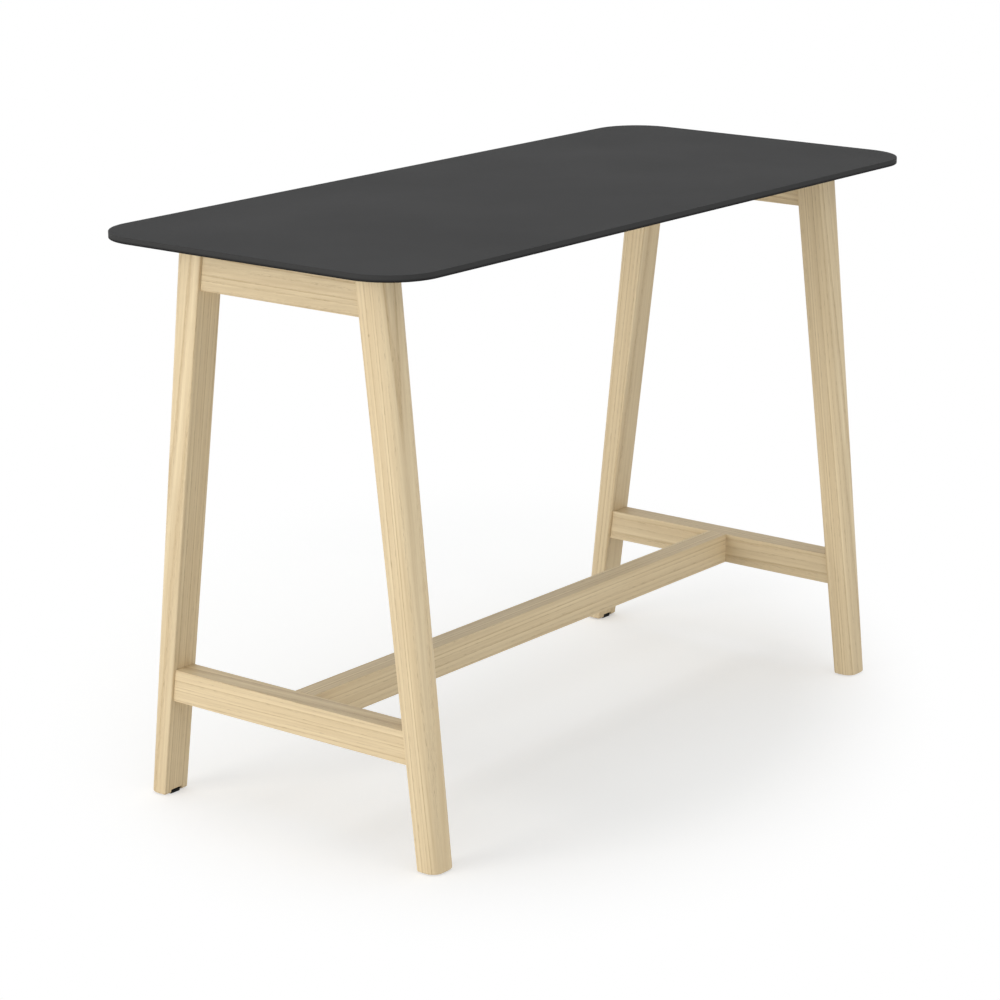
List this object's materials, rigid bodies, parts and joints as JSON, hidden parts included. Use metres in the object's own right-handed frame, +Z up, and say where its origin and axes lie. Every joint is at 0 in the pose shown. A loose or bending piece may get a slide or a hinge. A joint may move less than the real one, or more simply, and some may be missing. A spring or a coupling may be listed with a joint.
{
  "type": "standing meeting table",
  "caption": "Standing-height meeting table: a thin dark board with rounded corners on splayed ash end frames, joined by a low footrest stretcher, with levelling feet.",
  "frame": {"origin": "on the floor, under the middle of the top", "axes": "+X along the top's length, +Y across it, +Z up"},
  "size_m": [1.6, 0.7, 1.05],
  "materials": {
    "laminate": "matte laminate, fine texture",
    "ash": "matt lacquered pale ash",
    "beech": "bare beech",
    "zinc_steel": "bright zinc plate",
    "black_plastic": "moulded black nylon"
  },
  "bodies": {
    "table": {"tabletop": "laminate", "stretcher": "ash", "leg_front_left": "ash", "leg_back_left": "ash", "leg_front_right": "ash", "leg_back_right": "ash", "upper_rail_left": "ash", "upper_rail_right": "ash", "lower_rail_left": "ash", "lower_rail_right": "ash", "upper_tenon_front_left": "beech", "upper_tenon_back_left": "beech", "upper_tenon_front_right": "beech", "upper_tenon_back_right": "beech", "lower_tenon_front_left": "beech", "lower_tenon_back_left": "beech", "lower_tenon_front_right": "beech", "lower_tenon_back_right": "beech", "insert_sleeve_front_left": "zinc_steel", "insert_sleeve_back_left": "zinc_steel", "insert_sleeve_front_right": "zinc_steel", "insert_sleeve_back_right": "zinc_steel", "stretcher_stud_left": "zinc_steel", "stretcher_stud_right": "zinc_steel", "crescent_washer_left": "zinc_steel", "crescent_washer_right": "zinc_steel", "stretcher_nut_left": "zinc_steel", "stretcher_nut_right": "zinc_steel", "stretcher_dowel_left_low": "beech", "stretcher_dowel_left_high": "beech", "stretcher_dowel_right_low": "beech", "stretcher_dowel_right_high": "beech", "bearer_front": "ash", "bearer_back": "ash", "bearer_dowel_left_front_low": "beech", "bearer_dowel_left_front_high": "beech", "bearer_dowel_left_back_low": "beech", "bearer_dowel_left_back_high": "beech", "bearer_dowel_right_front_low": "beech", "bearer_dowel_right_front_high": "beech", "bearer_dowel_right_back_low": "beech", "bearer_dowel_right_back_high": "beech", "top_screw_1": "zinc_steel", "top_screw_2": "zinc_steel", "top_screw_3": "zinc_steel", "top_screw_4": "zinc_steel", "top_screw_5": "zinc_steel", "top_screw_6": "zinc_steel", "frame_screw_front_left": "zinc_steel", "frame_screw_back_left": "zinc_steel", "frame_screw_front_right": "zinc_steel", "frame_screw_back_right": "zinc_steel"},
    "glide_front_left": {"levelling_glide_front_left": "black_plastic"},
    "stem_front_left": {"levelling_stem_front_left": "zinc_steel"},
    "glide_back_left": {"levelling_glide_back_left": "black_plastic"},
    "stem_back_left": {"levelling_stem_back_left": "zinc_steel"},
    "glide_front_right": {"levelling_glide_front_right": "black_plastic"},
    "stem_front_right": {"levelling_stem_front_right": "zinc_steel"},
    "glide_back_right": {"levelling_glide_back_right": "black_plastic"},
    "stem_back_right": {"levelling_stem_back_right": "zinc_steel"}
  },
  "joints": [
    {"name": "level_front_left", "type": "slide", "parent": "table", "child": "glide_front_left", "axis": [0, 0, -1], "range_m": [0, 0.01]},
    {"name": "turn_front_left", "type": "hinge", "parent": "glide_front_left", "child": "stem_front_left", "pos_m": [-0.67, -0.311, 0.02], "axis": [0, 0, -1], "range_deg": [0, 2880]},
    {"name": "level_back_left", "type": "slide", "parent": "table", "child": "glide_back_left", "axis": [0, 0, -1], "range_m": [0, 0.01]},
    {"name": "turn_back_left", "type": "hinge", "parent": "glide_back_left", "child": "stem_back_left", "pos_m": [-0.67, 0.311, 0.02], "axis": [0, 0, -1], "range_deg": [0, 2880]},
    {"name": "level_front_right", "type": "slide", "parent": "table", "child": "glide_front_right", "axis": [0, 0, -1], "range_m": [0, 0.01]},
    {"name": "turn_front_right", "type": "hinge", "parent": "glide_front_right", "child": "stem_front_right", "pos_m": [0.67, -0.311, 0.02], "axis": [0, 0, -1], "range_deg": [0, 2880]},
    {"name": "level_back_right", "type": "slide", "parent": "table", "child": "glide_back_right", "axis": [0, 0, -1], "range_m": [0, 0.01]},
    {"name": "turn_back_right", "type": "hinge", "parent": "glide_back_right", "child": "stem_back_right", "pos_m": [0.67, 0.311, 0.02], "axis": [0, 0, -1], "range_deg": [0, 2880]}
  ],
  "couplings": [
    {"joint": "level_front_left", "follows": "turn_front_left", "m_per_rad": 0.00019894},
    {"joint": "level_back_left", "follows": "turn_back_left", "m_per_rad": 0.00019894},
    {"joint": "level_front_right", "follows": "turn_front_right", "m_per_rad": 0.00019894},
    {"joint": "level_back_right", "follows": "turn_back_right", "m_per_rad": 0.00019894}
  ]
}
